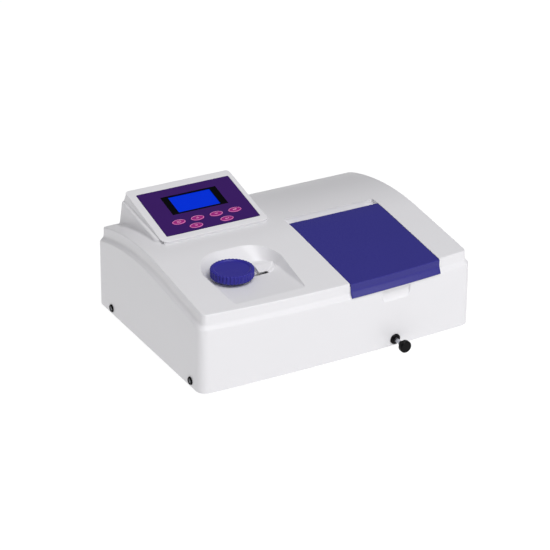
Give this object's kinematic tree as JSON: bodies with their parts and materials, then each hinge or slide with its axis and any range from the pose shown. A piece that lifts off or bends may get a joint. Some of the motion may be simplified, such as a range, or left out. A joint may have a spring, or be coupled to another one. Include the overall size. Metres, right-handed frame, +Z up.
{
  "type": "spectrophotometer",
  "caption": "Bench-top visible-light spectrophotometer with a tilted keypad console, a wavelength knob in a round-cornered well, a hinged sample lid and a pull rod that moves the cuvette carrier.",
  "frame": {"origin": "centre of the bounding box's bottom, on the bench between the feet", "axes": "+X to the instrument's right as its user faces it, +Y to the back, +Z up"},
  "size_m": [0.4302, 0.3556, 0.179],
  "materials": {
    "housing_white": "fine satin moulded ABS, white",
    "lid_blue": "satin moulded ABS, blue-violet",
    "knob_blue": "satin moulded ABS, blue-violet",
    "membrane_purple": "printed polyester membrane, dark purple",
    "key_magenta": "embossed polyester, magenta",
    "display_black": "gloss black",
    "display_blue": "blue liquid-crystal cell",
    "black_plastic": "satin black",
    "rubber": "matt moulded rubber",
    "foam": "closed-cell foam",
    "steel": "drawn bright steel",
    "sheet_steel": "zinc-plated sheet",
    "aluminium": "machined",
    "anodised": "black anodised, matt",
    "brass": "turned",
    "lamp_glass": "clear quartz",
    "mirror": "front-surface aluminised glass",
    "circuit_board": "green solder resist",
    "ceramic": "unglazed steatite",
    "dial_white": "printed scale disc"
  },
  "bodies": {
    "instrument": {"top_housing": "housing_white", "console_body": "housing_white", "console_bezel": "housing_white", "membrane_panel": "membrane_purple", "display_frame": "display_black", "display_module": "display_blue", "side_screw_front_left": "black_plastic", "side_screw_front_right": "black_plastic", "side_screw_rear_left": "black_plastic", "side_screw_rear_right": "black_plastic", "rod_escutcheon": "black_plastic", "sample_well": "black_plastic", "power_inlet": "black_plastic", "power_switch_frame": "black_plastic", "fan_frame": "black_plastic", "foot_front_left": "rubber", "foot_rear_left": "rubber", "foot_front_right": "rubber", "foot_rear_right": "rubber", "lid_hinge_pin": "steel", "arm_spring": "steel", "entrance_slit": "steel", "exit_slit": "steel", "base_plate": "sheet_steel", "lamp_housing": "sheet_steel", "data_port": "sheet_steel", "power_supply": "sheet_steel", "optics_bench": "aluminium", "monochromator_case": "anodised", "monochromator_cover": "anodised", "detector_housing": "anodised", "shaft_bushing": "brass", "lower_bearing": "brass", "halogen_lamp": "lamp_glass", "collimating_mirror": "mirror", "focusing_mirror": "mirror", "keypad_board": "circuit_board", "main_board": "circuit_board", "lamp_socket": "ceramic"},
    "lid": {"sample_lid": "lid_blue", "lid_seal": "foam"},
    "carrier": {"cuvette_carrier": "anodised", "pull_rod": "steel", "pull_knob": "black_plastic"},
    "wavelength_drive": {"wavelength_knob": "knob_blue", "knob_shaft": "steel", "wavelength_dial": "dial_white", "wavelength_cam": "aluminium"},
    "grating_mount": {"grating_holder": "aluminium", "diffraction_grating": "mirror", "grating_arm": "aluminium"},
    "mode_key": {"key_mode": "key_magenta"},
    "up_key": {"key_up": "key_magenta"},
    "down_key": {"key_down": "key_magenta"},
    "print_key": {"key_print": "key_magenta"},
    "escape_key": {"key_escape": "key_magenta"},
    "enter_key": {"key_enter": "key_magenta"},
    "switch_rocker": {"power_switch_rocker": "black_plastic"},
    "fan": {"fan_rotor": "black_plastic"}
  },
  "joints": [
    {"name": "lid_hinge", "type": "hinge", "parent": "instrument", "child": "lid", "pos_m": [0.08425, 0.02125, 0.135], "axis": [-1, 0, 0], "range_deg": [0, 95]},
    {"name": "carrier_slide", "type": "slide", "parent": "instrument", "child": "carrier", "axis": [0, -1, 0], "range_m": [0, 0.048]},
    {"name": "wavelength_turn", "type": "hinge", "parent": "instrument", "child": "wavelength_drive", "pos_m": [-0.1205, -0.06225, 0.13], "axis": [0, 0, 1], "range_deg": [-150, 150]},
    {"name": "grating_pivot", "type": "hinge", "parent": "instrument", "child": "grating_mount", "pos_m": [-0.06, -0.01075, 0.06], "axis": [0, 0, 1], "range_deg": [-6.2, 6.2]},
    {"name": "switch_rock", "type": "hinge", "parent": "instrument", "child": "switch_rocker", "pos_m": [-0.1, 0.17225, 0.04], "axis": [1, 0, 0], "range_deg": [0, 15.5]},
    {"name": "fan_spin", "type": "hinge", "parent": "instrument", "child": "fan", "pos_m": [0.075, 0.16225, 0.06], "axis": [0, 1, 0], "continuous": true},
    {"name": "mode_press", "type": "slide", "parent": "instrument", "child": "mode_key", "axis": [0, 0.2504, -0.9681], "range_m": [0, 0.0005], "stiffness_N_per_m": 1500},
    {"name": "up_press", "type": "slide", "parent": "instrument", "child": "up_key", "axis": [0, 0.2504, -0.9681], "range_m": [0, 0.0005], "stiffness_N_per_m": 1500},
    {"name": "down_press", "type": "slide", "parent": "instrument", "child": "down_key", "axis": [0, 0.2504, -0.9681], "range_m": [0, 0.0005], "stiffness_N_per_m": 1500},
    {"name": "print_press", "type": "slide", "parent": "instrument", "child": "print_key", "axis": [0, 0.2504, -0.9681], "range_m": [0, 0.0005], "stiffness_N_per_m": 1500},
    {"name": "escape_press", "type": "slide", "parent": "instrument", "child": "escape_key", "axis": [0, 0.2504, -0.9681], "range_m": [0, 0.0005], "stiffness_N_per_m": 1500},
    {"name": "enter_press", "type": "slide", "parent": "instrument", "child": "enter_key", "axis": [0, 0.2504, -0.9681], "range_m": [0, 0.0005], "stiffness_N_per_m": 1500}
  ],
  "couplings": [
    {"joint": "grating_pivot", "follows": "wavelength_turn", "ratio": 0.04}
  ]
}
